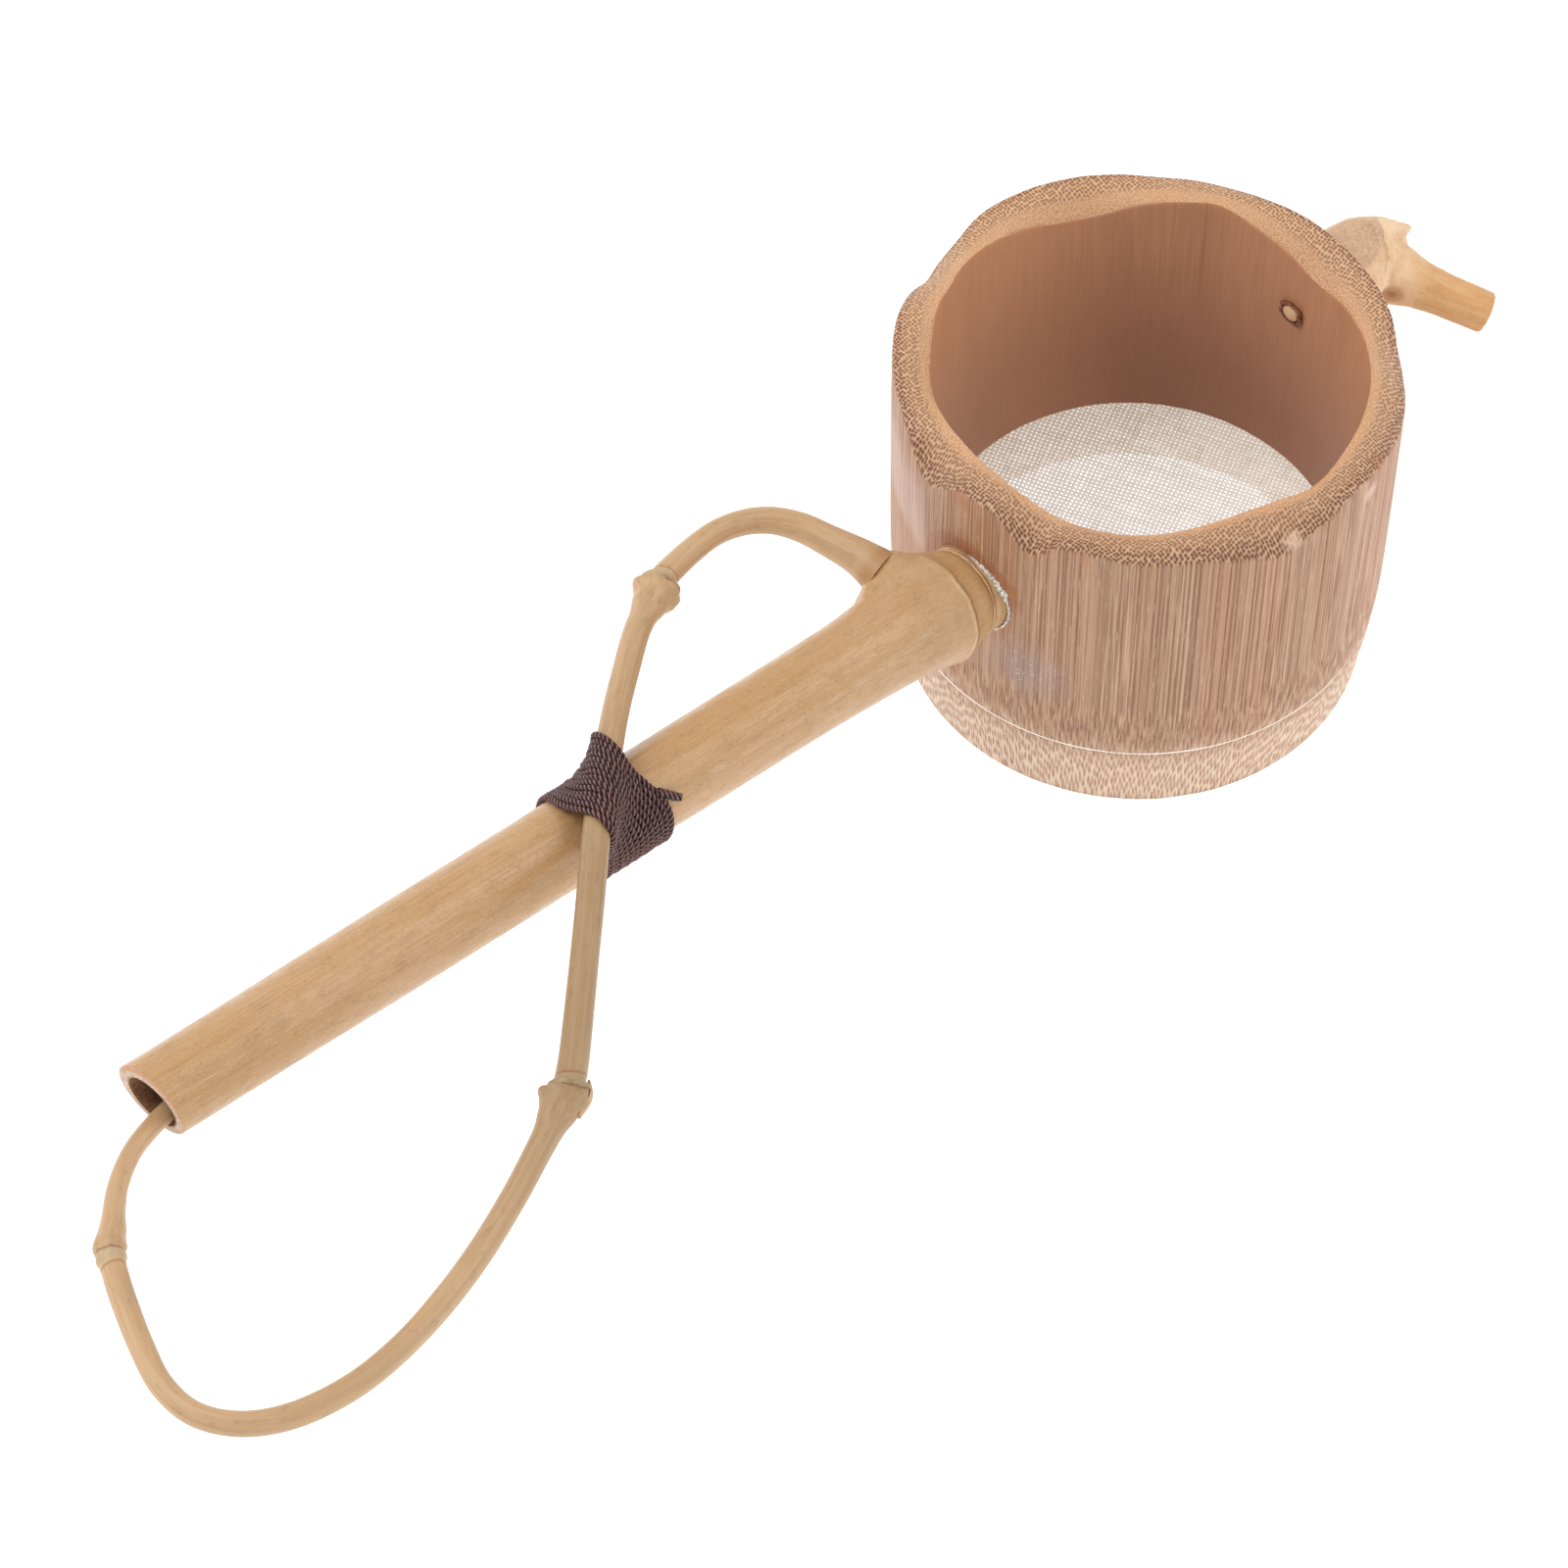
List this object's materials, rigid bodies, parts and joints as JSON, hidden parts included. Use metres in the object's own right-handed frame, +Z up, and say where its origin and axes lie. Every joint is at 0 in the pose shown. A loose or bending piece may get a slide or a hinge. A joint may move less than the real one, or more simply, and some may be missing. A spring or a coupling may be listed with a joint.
{
  "type": "tea strainer",
  "caption": "Bamboo tea strainer: round cup with a linen cloth floor, long raised culm handle with a looped side branch lashed to it, and a short rest twig opposite.",
  "frame": {"origin": "on the cup's axis, in the plane of the base ring's foot", "axes": "+Z up along the cup's axis, the handle leaves towards -X, the rest twig towards +X"},
  "size_m": [0.2561, 0.0843, 0.0663],
  "materials": {
    "bamboo_cut": "satin",
    "bamboo_skin": "satin",
    "bamboo_branch": "satin",
    "bamboo_root": "matte",
    "linen": "matte",
    "waxed_cord": "waxed",
    "pale_glue": "matte",
    "brown_glue": "satin"
  },
  "bodies": {
    "root": {"cup_body": "bamboo_cut", "base_ring": "bamboo_cut", "gauze": "linen", "handle": "bamboo_skin", "handle_glue": "pale_glue", "loop_branch": "bamboo_branch", "lashing": "waxed_cord", "rest_twig": "bamboo_root", "twig_glue": "brown_glue"}
  },
  "joints": []
}
